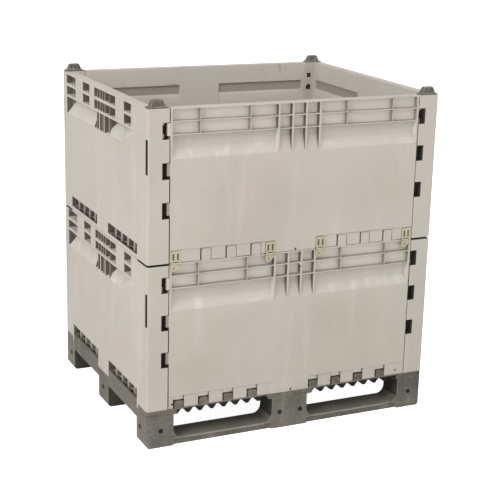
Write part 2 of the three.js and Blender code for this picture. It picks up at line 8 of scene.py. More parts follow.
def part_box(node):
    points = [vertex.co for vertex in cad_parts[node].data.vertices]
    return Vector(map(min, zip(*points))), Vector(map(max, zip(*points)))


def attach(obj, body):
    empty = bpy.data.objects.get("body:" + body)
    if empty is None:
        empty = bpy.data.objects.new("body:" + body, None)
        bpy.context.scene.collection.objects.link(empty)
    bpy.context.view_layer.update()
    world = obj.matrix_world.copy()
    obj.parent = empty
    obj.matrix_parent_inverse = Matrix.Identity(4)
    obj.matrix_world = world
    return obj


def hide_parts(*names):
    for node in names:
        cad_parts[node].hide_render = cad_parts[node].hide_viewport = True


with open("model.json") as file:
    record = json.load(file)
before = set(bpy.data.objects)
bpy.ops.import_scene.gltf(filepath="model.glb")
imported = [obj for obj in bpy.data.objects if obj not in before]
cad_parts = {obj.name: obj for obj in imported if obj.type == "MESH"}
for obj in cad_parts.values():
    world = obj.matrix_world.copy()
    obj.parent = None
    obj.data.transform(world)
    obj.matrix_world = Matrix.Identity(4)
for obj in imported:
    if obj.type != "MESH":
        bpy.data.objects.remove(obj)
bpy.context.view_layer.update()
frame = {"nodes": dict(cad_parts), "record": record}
print("frame loaded")

scene = bpy.context.scene
scene.view_settings.view_transform = "Standard"

# Camera and studio

camera = {
    "place": (-2.14535, -4.62026, 2.042),  # metres
    "turn": (74.083, -1.444, -24.961),  # degrees
    "lens": 91.6,
    "sensor": 36.0,
    "reach": 200.0,
}
studio = {
    "roomLight": 0.66,
    "roomColour": (1.0, 0.985, 0.965),
    "aim": (0.0, 0.0, 0.6),
    "floorHalf": 60.0,
    "floorColour": (0.93, 0.93, 0.93),
    "floorRoughness": 0.9,
    "floorSpecular": 0.0,
    "floorGlow": 0.94,
    "white": (1.0, 1.0, 1.0, 1.0),
}
lamps = {
    "keyLamp": {"place": (-5.4, -2.7, 4.2), "size": 3.2, "power": 140.0, "colour": (1.0, 0.975, 0.965)},
    "topLamp": {"place": (-0.6, -2.6, 6.2), "size": 3.6, "power": 62.0, "colour": (1.0, 0.985, 0.965)},
    "fillLamp": {"place": (3.2, -5.4, 2.6), "size": 3.0, "power": 16.0, "colour": (0.95, 0.97, 1.0)},
}


def addCamera():
    data = bpy.data.cameras.new("photoCamera")
    data.sensor_width = camera["sensor"]
    data.lens = camera["lens"]
    data.clip_end = camera["reach"]
    cam = bpy.data.objects.new("photoCamera", data)
    cam.location = camera["place"]
    cam.rotation_euler = [math.radians(angle) for angle in camera["turn"]]
    scene.collection.objects.link(cam)
    scene.camera = cam


def addLamp(name, look):
    data = bpy.data.lights.new(name, "AREA")
    data.shape = "SQUARE"
    data.size = look["size"]
    data.energy = look["power"]
    data.color = look["colour"]
    lamp = bpy.data.objects.new(name, data)
    lamp.location = look["place"]
    aim = Vector(studio["aim"]) - Vector(look["place"])
    lamp.rotation_euler = aim.to_track_quat("-Z", "Y").to_euler()
    scene.collection.objects.link(lamp)


def addRoom():
    # The camera sees a white room, and the box is lit by a warmer and dimmer one
    world = bpy.data.worlds.new("studioRoom")
    scene.world = world
    world.use_nodes = True
    tree = world.node_tree
    light = tree.nodes["Background"]
    light.inputs["Color"].default_value = (*studio["roomColour"], 1.0)
    light.inputs["Strength"].default_value = studio["roomLight"]
    backdrop = tree.nodes.new("ShaderNodeBackground")
    backdrop.inputs["Color"].default_value = studio["white"]
    rays = tree.nodes.new("ShaderNodeLightPath")
    choose = tree.nodes.new("ShaderNodeMixShader")
    tree.links.new(rays.outputs["Is Camera Ray"], choose.inputs[0])
    tree.links.new(light.outputs[0], choose.inputs[1])
    tree.links.new(backdrop.outputs[0], choose.inputs[2])
    tree.links.new(choose.outputs[0], tree.nodes["World Output"].inputs["Surface"])


def addFloor():
    half = studio["floorHalf"]
    mesh = bpy.data.meshes.new("studioFloor")
    corners = [(-half, -half, 0), (half, -half, 0), (half, half, 0), (-half, half, 0)]
    mesh.from_pydata(corners, [], [(0, 1, 2, 3)])
    floor = bpy.data.objects.new("studioFloor", mesh)
    scene.collection.objects.link(floor)
    material = bpy.data.materials.new("studioFloorPaint")
    material.use_nodes = True
    tree = material.node_tree
    paint = tree.nodes["Principled BSDF"]
    paint.inputs["Base Color"].default_value = (*studio["floorColour"], 1.0)
    paint.inputs["Roughness"].default_value = studio["floorRoughness"]
    paint.inputs["Specular IOR Level"].default_value = studio["floorSpecular"]
    paint.inputs["Emission Color"].default_value = studio["white"]
    rays = tree.nodes.new("ShaderNodeLightPath")
    glow = tree.nodes.new("ShaderNodeMath")
    glow.operation = "MULTIPLY"
    glow.inputs[1].default_value = studio["floorGlow"]
    tree.links.new(rays.outputs["Is Camera Ray"], glow.inputs[0])
    tree.links.new(glow.outputs[0], paint.inputs["Emission Strength"])
    mesh.materials.append(material)


addCamera()
addRoom()
addFloor()
for lampName, lampLook in lamps.items():
    addLamp(lampName, lampLook)
print("camera and studio ready")

# Shader node groups


def newGroup(name, ins, outs):
    group = bpy.data.node_groups.new(name, "ShaderNodeTree")
    for label, kind, value in ins:
        socket = group.interface.new_socket(name=label, in_out="INPUT", socket_type=kind)
        socket.default_value = value
    for label, kind in outs:
        group.interface.new_socket(name=label, in_out="OUTPUT", socket_type=kind)
    start = group.nodes.new("NodeGroupInput")
    end = group.nodes.new("NodeGroupOutput")
    return group, start, end


def addNode(tree, kind, **values):
    node = tree.nodes.new(kind)
    for key, value in values.items():
        setattr(node, key, value)
    return node


def addNoise(tree, vector, scale, detail=3.0, roughness=0.5):
    node = addNode(tree, "ShaderNodeTexNoise")
    tree.links.new(vector, node.inputs["Vector"])
    node.inputs["Scale"].default_value = scale
    node.inputs["Detail"].default_value = detail
    node.inputs["Roughness"].default_value = roughness
    return node


def stretch(tree, vector, scale):
    node = addNode(tree, "ShaderNodeMapping")
    node.inputs["Scale"].default_value = scale
    tree.links.new(vector, node.inputs["Vector"])
    return node.outputs[0]


def ramp(tree, value, low, high):
    node = addNode(tree, "ShaderNodeMapRange", clamp=True, interpolation_type="SMOOTHSTEP")
    node.inputs["From Min"].default_value = low
    node.inputs["From Max"].default_value = high
    tree.links.new(value, node.inputs["Value"])
    return node.outputs["Result"]


def mathNode(tree, operation, first, second):
    node = addNode(tree, "ShaderNodeMath", operation=operation)
    for socket, value in zip(node.inputs, (first, second)):
        if isinstance(value, (int, float)):
            socket.default_value = value
        else:
            tree.links.new(value, socket)
    return node.outputs[0]


def mixColour(tree, amount, first, second):
    node = addNode(tree, "ShaderNodeMix", data_type="RGBA")
    for socket, value in ((node.inputs[0], amount), (node.inputs[6], first), (node.inputs[7], second)):
        if isinstance(value, (int, float)):
            socket.default_value = value
        elif isinstance(value, tuple):
            socket.default_value = (*value, 1.0)
        else:
            tree.links.new(value, socket)
    return node.outputs[2]


def addLayer(tree, where, look):
    # One layer of noise, from its dictionary
    vector = stretch(tree, where, look["stretch"]) if "stretch" in look else where
    return addNoise(tree, vector, look.get("scale", 1.0), look["detail"], look["roughness"]).outputs["Fac"]


mouldedLayers = {
    "cloud": {"scale": 2.3, "detail": 3.0, "roughness": 0.55},
    "streak": {"stretch": (14.0, 14.0, 1.6), "detail": 4.0, "roughness": 0.6},
    "rub": {"stretch": (5.0, 5.0, 22.0), "detail": 5.0, "roughness": 0.65},
    "grain": {"scale": 900.0, "detail": 2.0, "roughness": 0.5},
    "orange": {"scale": 130.0, "detail": 2.0, "roughness": 0.5},
    "mottle": {"scale": 85.0, "detail": 4.0, "roughness": 0.7},
    "hue": {"stretch": (1.7, 1.7, 1.1), "detail": 2.0, "roughness": 0.5},
}
mouldedTints = (
    {"layer": "cloud", "fade": (0.42, 0.72), "amount": "Dull Amount", "share": 1.0, "towards": "Dull"},
    {"layer": "streak", "fade": (0.5, 0.74), "amount": "Pale Amount", "share": 1.0, "towards": "Pale"},
    {"layer": "rub", "fade": (0.6, 0.72), "amount": "Pale Amount", "share": 0.5, "towards": "Pale"},
    {"layer": "mottle", "fade": (0.52, 0.72), "amount": "Mottle", "share": 1.0, "towards": "Pale"},
    {"layer": "mottle", "fade": (0.48, 0.3), "amount": "Mottle", "share": 1.0, "towards": "Dull"},
)
hueDrifts = (
    {"fade": (0.5, 0.68), "shade": (0.972, 1.0, 0.978)},
    {"fade": (0.5, 0.34), "shade": (1.0, 0.978, 0.99)},
)
mouldedSkin = {"shineFade": (0.35, 0.7), "shineAmount": 0.12, "grainAmount": 0.35}


def makeMouldedGroup():
    # Moulded plastic: slow shade changes, vertical rub marks and a fine grain
    group, start, end = newGroup(
        "mouldedPlastic",
        [
            ("Colour", "NodeSocketColor", (0.5, 0.5, 0.5, 1.0)),
            ("Pale", "NodeSocketColor", (0.6, 0.6, 0.6, 1.0)),
            ("Dull", "NodeSocketColor", (0.4, 0.4, 0.4, 1.0)),
            ("Pale Amount", "NodeSocketFloat", 0.3),
            ("Dull Amount", "NodeSocketFloat", 0.3),
            ("Gloss Base", "NodeSocketFloat", 0.5),
            ("Grain", "NodeSocketFloat", 1.0),
            ("Mottle", "NodeSocketFloat", 0.0),
        ],
        [("Colour", "NodeSocketColor"), ("Roughness", "NodeSocketFloat"), ("Height", "NodeSocketFloat")],
    )
    where = addNode(group, "ShaderNodeTexCoord").outputs["Object"]
    layers = {name: addLayer(group, where, look) for name, look in mouldedLayers.items()}
    tint = start.outputs["Colour"]
    for look in mouldedTints:
        fade = ramp(group, layers[look["layer"]], *look["fade"])
        amount = mathNode(group, "MULTIPLY", fade, start.outputs[look["amount"]])
        if look["share"] < 1:
            amount = mathNode(group, "MULTIPLY", amount, look["share"])
        tint = mixColour(group, amount, tint, start.outputs[look["towards"]])
    for look in hueDrifts:
        drift = addNode(group, "ShaderNodeMix", data_type="RGBA", blend_type="MULTIPLY")
        group.links.new(ramp(group, layers["hue"], *look["fade"]), drift.inputs[0])
        group.links.new(tint, drift.inputs[6])
        drift.inputs[7].default_value = (*look["shade"], 1.0)
        tint = drift.outputs[2]
    group.links.new(tint, end.inputs["Colour"])
    shine = ramp(group, layers["rub"], *mouldedSkin["shineFade"])
    shine = mathNode(group, "MULTIPLY", shine, mouldedSkin["shineAmount"])
    shine = mathNode(group, "ADD", shine, start.outputs["Gloss Base"])
    group.links.new(shine, end.inputs["Roughness"])
    height = mathNode(group, "MULTIPLY", layers["grain"], mouldedSkin["grainAmount"])
    height = mathNode(group, "ADD", height, layers["orange"])
    group.links.new(mathNode(group, "MULTIPLY", height, start.outputs["Grain"]), end.inputs["Height"])
    return group


scuffLayers = {
    "patches": {"scale": 7.0, "detail": 4.0, "roughness": 0.6},
    "marks": {"stretch": (60.0, 60.0, 9.0), "detail": 3.0, "roughness": 0.6},
    "scratch": {"stretch": (11.0, 11.0, 95.0), "detail": 2.0, "roughness": 0.5},
}
scuffMarks = (
    {"layer": "marks", "fade": (0.6, 0.7), "patchFade": (0.48, 0.62)},
    {"layer": "scratch", "fade": (0.64, 0.7), "patchFade": (0.5, 0.66)},
)
darkenPatches = (0.3, 0.7)


def makeScuffGroup():
    # Scuffs, and darkening towards the bottom: scattered short marks, and a patchy darkening that grows from
    # one height down to a lower one
    group, start, end = newGroup(
        "scuffs",
        [
            ("Colour", "NodeSocketColor", (0.5, 0.5, 0.5, 1.0)),
            ("Mark", "NodeSocketColor", (0.2, 0.2, 0.2, 1.0)),
            ("Amount", "NodeSocketFloat", 0.5),
            ("Darken Top", "NodeSocketFloat", 0.3),
            ("Darken Bottom", "NodeSocketFloat", 0.0),
            ("Darken Amount", "NodeSocketFloat", 0.3),
        ],
        [("Colour", "NodeSocketColor"), ("Mask", "NodeSocketFloat")],
    )
    where = addNode(group, "ShaderNodeTexCoord").outputs["Object"]
    layers = {name: addLayer(group, where, look) for name, look in scuffLayers.items()}
    spots, lines = (
        mathNode(
            group, "MULTIPLY", ramp(group, layers[look["layer"]], *look["fade"]),
            ramp(group, layers["patches"], *look["patchFade"]),
        )
        for look in scuffMarks
    )
    mask = mathNode(group, "MULTIPLY", mathNode(group, "MAXIMUM", spots, lines), start.outputs["Amount"])
    split = addNode(group, "ShaderNodeSeparateXYZ")
    group.links.new(where, split.inputs[0])
    low = addNode(group, "ShaderNodeMapRange", clamp=True)
    group.links.new(split.outputs["Z"], low.inputs["Value"])
    group.links.new(start.outputs["Darken Top"], low.inputs["From Min"])
    group.links.new(start.outputs["Darken Bottom"], low.inputs["From Max"])
    uneven = addNode(group, "ShaderNodeMapRange", clamp=True)
    group.links.new(layers["patches"], uneven.inputs["Value"])
    uneven.inputs["From Min"].default_value, uneven.inputs["From Max"].default_value = darkenPatches
    darkenLow = mathNode(group, "MULTIPLY", low.outputs[0], uneven.outputs[0])
    darkenLow = mathNode(group, "MULTIPLY", darkenLow, start.outputs["Darken Amount"])
    whole = mathNode(group, "MAXIMUM", mask, darkenLow)
    marked = mixColour(group, whole, start.outputs["Colour"], start.outputs["Mark"])
    group.links.new(marked, end.inputs["Colour"])
    group.links.new(whole, end.inputs["Mask"])
    return group


mouldedGroup = makeMouldedGroup()
scuffGroup = makeScuffGroup()

# Finishes, one dictionary each; those whose names end in Shade or PaintedLight hold painted shade or painted
# light

finishes = {
    "wallPlastic": {
        "colour": (0.585, 0.548, 0.488), "pale": (0.67, 0.642, 0.59), "dull": (0.515, 0.477, 0.415),
        "paleAmount": 0.38, "dullAmount": 0.55, "gloss": 0.46, "grain": 1.0,
        "mark": (0.30, 0.265, 0.21), "marks": 0.24, "darkenLow": (0.9, 0.1, 0.14), "bump": 0.05,
    },
    "wallEdge": {
        "colour": (0.62, 0.585, 0.525), "pale": (0.70, 0.67, 0.62), "dull": (0.55, 0.51, 0.45),
        "paleAmount": 0.3, "dullAmount": 0.35, "gloss": 0.42, "grain": 0.6,
        "mark": (0.34, 0.30, 0.25), "marks": 0.3, "darkenLow": (0.9, 0.1, 0.12), "bump": 0.04,
    },
    # Wall plastic for the lower sheets in the long walls' cells, darker than the sheets above them: painted
    # shade
    "ledgePaintedShade": {
        "colour": (0.61, 0.573, 0.515), "pale": (0.70, 0.672, 0.62), "dull": (0.54, 0.50, 0.44),
        "paleAmount": 0.4, "dullAmount": 0.4, "gloss": 0.45, "grain": 1.0,
        "mark": (0.40, 0.36, 0.30), "marks": 0.12, "darkenLow": (0.9, 0.1, 0.08), "bump": 0.05,
    },
    # Wall plastic for the slopes under the ribbed bands, as lit from above: painted light, its pale patches
    # painted highlights
    "slopePaintedLight": {
        "colour": (0.64, 0.605, 0.548), "pale": (0.80, 0.775, 0.735), "dull": (0.56, 0.522, 0.465),
        "paleAmount": 0.75, "dullAmount": 0.5, "gloss": 0.45, "grain": 1.0, "mottle": 0.12,
        "mark": (0.38, 0.34, 0.28), "marks": 0.16, "darkenLow": (0.9, 0.1, 0.08), "bump": 0.05,
    },
    # Wall plastic much lightened for faces deep in cells, pockets and gaps: painted light against their shade
    "sheetPaintedLight": {
        "colour": (0.80, 0.757, 0.69), "pale": (0.85, 0.815, 0.76), "dull": (0.72, 0.675, 0.605),
        "paleAmount": 0.32, "dullAmount": 0.5, "gloss": 0.5, "grain": 1.0,
        "mark": (0.30, 0.265, 0.21), "marks": 0.2, "darkenLow": (0.9, 0.1, 0.1), "bump": 0.05,
    },
    "recessShade": {
        "colour": (0.175, 0.158, 0.130), "pale": (0.25, 0.23, 0.20), "dull": (0.12, 0.107, 0.086),
        "paleAmount": 0.3, "dullAmount": 0.5, "gloss": 0.6, "grain": 1.0,
        "mark": (0.09, 0.08, 0.062), "marks": 0.3, "darkenLow": (0.9, 0.1, 0.2), "bump": 0.05,
    },
    "ribShade": {
        "colour": (0.37, 0.34, 0.29), "pale": (0.45, 0.42, 0.37), "dull": (0.30, 0.272, 0.228),
        "paleAmount": 0.3, "dullAmount": 0.5, "gloss": 0.55, "grain": 1.0,
        "mark": (0.16, 0.145, 0.12), "marks": 0.3, "darkenLow": (0.9, 0.1, 0.2), "bump": 0.05,
    },
    "grooveShade": {
        "colour": (0.40, 0.377, 0.332), "pale": (0.46, 0.44, 0.395), "dull": (0.33, 0.31, 0.27),
        "paleAmount": 0.3, "dullAmount": 0.5, "gloss": 0.55, "grain": 1.0,
        "mark": (0.16, 0.145, 0.12), "marks": 0.3, "darkenLow": (0.9, 0.1, 0.2), "bump": 0.05,
    },
    # Wall plastic lightened for the inner faces of the walls: painted light
    "insidePaintedLight": {
        "colour": (0.66, 0.632, 0.57), "pale": (0.72, 0.70, 0.65), "dull": (0.59, 0.562, 0.50),
        "paleAmount": 0.35, "dullAmount": 0.5, "gloss": 0.5, "grain": 1.0,
        "mark": (0.24, 0.215, 0.175), "marks": 0.4, "darkenLow": (1.1, 0.1, 0.14), "bump": 0.05,
    },
    "basePlastic": {
        "mottle": 0.7,
        "colour": (0.158, 0.147, 0.121), "pale": (0.27, 0.256, 0.22), "dull": (0.078, 0.071, 0.056),
        "paleAmount": 0.6, "dullAmount": 0.85, "gloss": 0.5, "grain": 1.8,
        "mark": (0.31, 0.29, 0.255), "marks": 0.55, "darkenLow": (0.12, 0.0, 0.35), "bump": 0.09,
    },
    "baseEdge": {
        "mottle": 0.7,
        "colour": (0.205, 0.191, 0.163), "pale": (0.30, 0.283, 0.248), "dull": (0.12, 0.11, 0.09),
        "paleAmount": 0.5, "dullAmount": 0.45, "gloss": 0.45, "grain": 1.0,
        "mark": (0.40, 0.38, 0.34), "marks": 0.6, "darkenLow": (0.12, 0.0, 0.3), "bump": 0.07,
    },
    "baseShade": {
        "mottle": 0.7,
        "colour": (0.060, 0.054, 0.045), "pale": (0.10, 0.094, 0.082), "dull": (0.035, 0.031, 0.025),
        "paleAmount": 0.4, "dullAmount": 0.6, "gloss": 0.6, "grain": 1.6,
        "mark": (0.15, 0.14, 0.12), "marks": 0.4, "darkenLow": (0.12, 0.0, 0.3), "bump": 0.09,
    },
    "toothShade": {
        "colour": (0.010, 0.009, 0.006), "pale": (0.022, 0.020, 0.015), "dull": (0.005, 0.004, 0.003),
        "paleAmount": 0.3, "dullAmount": 0.5, "gloss": 0.75, "grain": 1.0, "mottle": 0.5,
        "mark": (0.05, 0.045, 0.035), "marks": 0.3, "darkenLow": (0.12, 0.0, 0.2), "bump": 0.05,
    },
    # Base plastic lightened for the sills of the fork windows and the fronts of the deck's combs: painted
    # light
    "lipPaintedLight": {
        "colour": (0.35, 0.334, 0.293), "pale": (0.44, 0.423, 0.378), "dull": (0.22, 0.206, 0.175),
        "paleAmount": 0.5, "dullAmount": 0.6, "gloss": 0.5, "grain": 1.2, "mottle": 0.6,
        "mark": (0.40, 0.38, 0.34), "marks": 0.5, "darkenLow": (0.12, 0.0, 0.2), "bump": 0.07,
    },
    # Base plastic darkened for the studs, against the light from above: painted shade, with pale random
    # patches
    "studPaintedShade": {
        "colour": (0.108, 0.102, 0.088), "pale": (0.26, 0.25, 0.225), "dull": (0.055, 0.051, 0.042),
        "paleAmount": 0.9, "dullAmount": 0.8, "gloss": 0.45, "grain": 1.4, "mottle": 0.9,
        "mark": (0.33, 0.315, 0.28), "marks": 0.8, "darkenLow": (0.12, 0.0, 0.0), "bump": 0.08,
    },
    "clipPlastic": {
        "colour": (0.585, 0.53, 0.385), "pale": (0.72, 0.675, 0.555), "dull": (0.46, 0.40, 0.265),
        "paleAmount": 0.35, "dullAmount": 0.5, "gloss": 0.4, "grain": 0.5,
        "mark": (0.22, 0.17, 0.09), "marks": 0.4, "darkenLow": (0.8, 0.7, 0.2), "bump": 0.05,
    },
    "clipEdge": {
        "colour": (0.68, 0.625, 0.48), "pale": (0.78, 0.735, 0.625), "dull": (0.54, 0.48, 0.34),
        "paleAmount": 0.35, "dullAmount": 0.4, "gloss": 0.38, "grain": 0.4,
        "mark": (0.26, 0.20, 0.11), "marks": 0.4, "darkenLow": (0.8, 0.7, 0.2), "bump": 0.04,
    },
    "clipShade": {
        "colour": (0.175, 0.135, 0.070), "pale": (0.26, 0.21, 0.13), "dull": (0.10, 0.075, 0.036),
        "paleAmount": 0.3, "dullAmount": 0.5, "gloss": 0.5, "grain": 0.4,
        "mark": (0.08, 0.06, 0.03), "marks": 0.3, "darkenLow": (0.8, 0.7, 0.2), "bump": 0.04,
    },
    "holeShade": {
        "colour": (0.078, 0.073, 0.058), "pale": (0.12, 0.113, 0.094), "dull": (0.045, 0.041, 0.031),
        "paleAmount": 0.2, "dullAmount": 0.4, "gloss": 0.7, "grain": 0.4,
        "mark": (0.09, 0.082, 0.066), "marks": 0.3, "darkenLow": (0.8, 0.0, 0.1), "bump": 0.02,
    },
}
plastic = {"mottle": 0.06, "bumpDistance": 0.002, "specular": 0.4}
steel = {
    "drawn": {"stretch": (6.0, 900.0, 900.0), "detail": 3.0, "roughness": 0.6},
    "stain": {"scale": 40.0, "detail": 4.0, "roughness": 0.6},
    "stainFade": (0.45, 0.7), "bright": (0.42, 0.41, 0.40), "stained": (0.24, 0.20, 0.16),
    "glossFade": (-0.6, 2.0), "metallic": 0.9,
}
materials = {}


def newMaterial(name):
    material = bpy.data.materials.new(name)
    material.use_nodes = True
    materials[name] = material
    return material.node_tree, material.node_tree.nodes["Principled BSDF"]


def makeFinish(name, look):
    tree, paint = newMaterial(name)
    body = addNode(tree, "ShaderNodeGroup", node_tree=mouldedGroup)
    wear = addNode(tree, "ShaderNodeGroup", node_tree=scuffGroup)
    for node, label, key in (
        (body, "Colour", "colour"), (body, "Pale", "pale"), (body, "Dull", "dull"), (wear, "Mark", "mark"),
    ):
        node.inputs[label].default_value = (*look[key], 1.0)
    top, bottom, amount = look["darkenLow"]
    for node, label, value in (
        (body, "Pale Amount", look["paleAmount"]), (body, "Dull Amount", look["dullAmount"]),
        (body, "Gloss Base", look["gloss"]), (body, "Grain", look["grain"]),
        (body, "Mottle", look.get("mottle", plastic["mottle"])), (wear, "Amount", look["marks"]),
        (wear, "Darken Top", top), (wear, "Darken Bottom", bottom), (wear, "Darken Amount", amount),
    ):
        node.inputs[label].default_value = value
    bump = addNode(tree, "ShaderNodeBump")
    bump.inputs["Strength"].default_value = look["bump"]
    bump.inputs["Distance"].default_value = plastic["bumpDistance"]
    tree.links.new(body.outputs["Colour"], wear.inputs["Colour"])
    tree.links.new(wear.outputs["Colour"], paint.inputs["Base Color"])
    tree.links.new(body.outputs["Roughness"], paint.inputs["Roughness"])
    tree.links.new(body.outputs["Height"], bump.inputs["Height"])
    tree.links.new(bump.outputs["Normal"], paint.inputs["Normal"])
    paint.inputs["Specular IOR Level"].default_value = plastic["specular"]


def makeSteel():
    tree, paint = newMaterial("rodSteel")
    where = addNode(tree, "ShaderNodeTexCoord").outputs["Object"]
    drawn = addLayer(tree, where, steel["drawn"])
    stain = addLayer(tree, where, steel["stain"])
    colour = mixColour(tree, ramp(tree, stain, *steel["stainFade"]), steel["bright"], steel["stained"])
    tree.links.new(colour, paint.inputs["Base Color"])
    tree.links.new(ramp(tree, drawn, *steel["glossFade"]), paint.inputs["Roughness"])
    paint.inputs["Metallic"].default_value = steel["metallic"]


for finishName, finishLook in finishes.items():
    makeFinish(finishName, finishLook)
makeSteel()
print("finishes ready")

# Moulded pieces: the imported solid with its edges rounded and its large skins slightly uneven

bodyOf = {node: body for body, nodes in frame["record"]["behaviour"]["bodies"].items() for node in nodes}

wallAxes = {
    "front": {"along": (1, 0, 0), "inward": (0, 1, 0), "reach": 0.5},
    "back": {"along": (-1, 0, 0), "inward": (0, -1, 0), "reach": 0.5},
    "left": {"along": (0, -1, 0), "inward": (1, 0, 0), "reach": 0.6},
    "right": {"along": (0, 1, 0), "inward": (-1, 0, 0), "reach": 0.6},
}
tierBottom = {"lower": 0.15, "upper": 0.72}
mouldings = {
    "wall": {
        "round": 0.0012, "segments": 2, "cell": 0.05, "smooth": 32, "slot": "wall",
        "finishes": (
            "wallPlastic", "wallEdge", "recessShade", "holeShade", "ledgePaintedShade", "sheetPaintedLight",
            "insidePaintedLight", "grooveShade", "ribShade", "slopePaintedLight", "basePlastic",
        ),
    },
    "deck": {
        "round": 0.0018, "segments": 2, "cell": 0.12, "smooth": 32, "slot": "base",
        "finishes": ("basePlastic", "baseEdge", "baseShade", "holeShade", "toothShade", "lipPaintedLight"),
    },
    "skid": {
        "round": 0.0035, "segments": 3, "cell": 0.06, "smooth": 32, "slot": "base",
        "finishes": ("basePlastic", "baseEdge", "baseShade", "holeShade", "toothShade", "lipPaintedLight"),
    },
    "stud": {
        "round": 0.0035, "segments": 3, "cell": 0, "smooth": 32, "slot": "base",
        "finishes": ("studPaintedShade", "baseEdge"),
    },
    "clip": {
        "round": 0.0007, "segments": 2, "cell": 0, "smooth": 50, "slot": "clip",
        "finishes": ("clipPlastic", "clipEdge", "clipShade"),
    },
}
unevenSkin = {
    "wall": 0.0016, "skid": 0.0005, "scale": 3.4, "along": 0.6, "seed": 11.0,
    "flat": 0.9995, "gridShift": 0.00137,
}
seam = {"height": 0.128, "reach": 0.0006, "fade": 0.06, "lip": 0.1462, "edge": 0.4915}
meshing = {"weld": 1e-5, "plane": 1e-6, "flatAngle": 0.6, "cornerAngle": 38}
hingedWalls = ("lower_left_wall", "lower_right_wall")
combBand = {"top": 15, "from": 65, "to": 395, "skin": 1.2}


def cutPlane(bm, place, axis):
    # Cuts all the faces by a plane across one axis
    normal = Vector((0, 0, 0))
    normal[axis] = 1
    geometry = bm.verts[:] + bm.edges[:] + bm.faces[:]
    bmesh.ops.bisect_plane(bm, geom=geometry, dist=meshing["plane"], plane_co=normal * place, plane_no=normal)


def cutGrid(bm, axis, low, high, step):
    # Cuts the skins into strips, so that they can be bent a little
    for i in range(1, int((high - low) / step) + 1):
        cutPlane(bm, low + i * step + unevenSkin["gridShift"], axis)


def partsOf(node):
    # Tier and side of a piece; the clips sit at the joint between the tiers
    words = node.split("_")
    return ("upper", words[0]) if "_clip_" in node else (words[0], words[1])


def axesOf(node):
    axes = wallAxes[partsOf(node)[1]]
    return Vector(axes["along"]), Vector(axes["inward"]), axes["reach"]


def addBlock(bm, node, outline, span):
    # A block in a wall's own frame: its outline in depth and height, its span along the wall, in millimetres
    addPrism(bm, node, [[(u, w, z) for w, z in outline] for u in span])


def addPlate(bm, node, outline, depth):
    # The same with the outline along the wall and in height, and the span in depth
    addPrism(bm, node, [[(u, w, z) for u, z in outline] for w in depth])


def addPrism(bm, node, ends):
    along, inward, reach = axesOf(node)
    rings = []
    for points in ends:
        ring = []
        for u, w, z in points:
            place = along * (u / 1000) + inward * (w / 1000 - reach)
            place.z = z / 1000 + tierBottom[partsOf(node)[0]]
            ring.append(bm.verts.new(place))
        rings.append(ring)
    count = len(ends[0])
    faces = [bm.faces.new(rings[0]), bm.faces.new(rings[1][::-1])]
    for i in range(count):
        after = (i + 1) % count
        faces.append(bm.faces.new((rings[0][i], rings[1][i], rings[1][after], rings[0][after])))
    bmesh.ops.recalc_face_normals(bm, faces=faces)


hingePockets = {
    "half": 22.5, "wide": 6, "narrow": 1.5, "chamfer": 6, "play": 0.4, "lift": 0.6,
    "roof": 49.2, "top": 46.5, "corner": 39.5, "front": 3.2, "back": 12.5,
    "cutTop": 49, "cutBack": 12, "match": 0.05,
}


def pocketCentres(node):
    # Places of the hinge pockets of an upper long wall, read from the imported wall's own recesses
    look = hingePockets
    along, inward, reach = axesOf(node)
    middles = set()
    for vert in frame["nodes"][node].data.vertices:
        u, w = vert.co.dot(along) * 1000, (vert.co.dot(inward) + reach) * 1000
        z = (vert.co.z - tierBottom["upper"]) * 1000
        if abs(z - look["cutTop"]) < look["match"] and abs(w - look["cutBack"]) < look["match"]:
            middles.add(round(u, 1))
    edges = sorted(middles)
    return [(left + right) / 2 for left, right in zip(edges[::2], edges[1::2])]


def addPocketTops(bm, node):
    # Lowers the roof of each pocket and slopes its two corners
    look = hingePockets
    depth = (look["front"], look["back"])
    top, corner, roof, play = look["top"], look["corner"], look["roof"], look["play"]
    for centre in pocketCentres(node):
        left, right = centre - look["half"], centre + look["half"]
        addPlate(bm, node, ((left, top), (right, top), (right, roof), (left, roof)), depth)
        slope = right - look["narrow"]
        addPlate(bm, node, (
            (slope - look["chamfer"] + play, top), (slope + play, corner), (right, corner), (right, top),
        ), depth)
        slope = left + look["wide"]
        addPlate(bm, node, (
            (slope, top), (slope, corner + look["lift"]), (slope + look["chamfer"] - play, top),
        ), depth)


centreSlopes = {
    "spans": ((-80.9, -32.1), (-23.9, 23.9), (32.1, 80.9)),
    "front": 0.5, "back": 20.3, "low": 386.8, "high": 452,
}
postSeals = {"spans": ((-466, -460.6), (460.6, 466)), "front": 83.5, "back": 87.5, "low": 3, "high": 567}
cellFins = {"middles": (-62, 0), "half": 1.5, "back": 27.3, "rows": ((2.0, 402, 474), (4.0, 474, 562))}


def boxOutline(front, back, low, high):
    return (front, low), (front, high), (back, high), (back, low)


def addWallDetails(bm, node):
    if node in ("upper_front_wall", "upper_back_wall"):
        addPocketTops(bm, node)
    if "front" in node or "back" in node:
        look = centreSlopes
        for span in look["spans"]:
            wedge = ((look["front"], look["low"]), (look["back"], look["high"]), (look["back"], look["low"]))
            addBlock(bm, node, wedge, span)
    else:
        look = postSeals
        for span in look["spans"]:
            addBlock(bm, node, boxOutline(look["front"], look["back"], look["low"], look["high"]), span)
        look = cellFins
        for middle in look["middles"]:
            for front, low, high in look["rows"]:
                span = (middle - look["half"], middle + look["half"])
                addBlock(bm, node, boxOutline(front, look["back"], low, high), span)


clipSlots = {"offset": 9, "half": 3.35, "low": 12.2, "high": 35.8, "depth": (2.1, 3.9)}
clipSpot = {"foot": -7, "drop": -19, "radius": 4.4, "sides": 16, "depth": (-0.25, 1.0)}


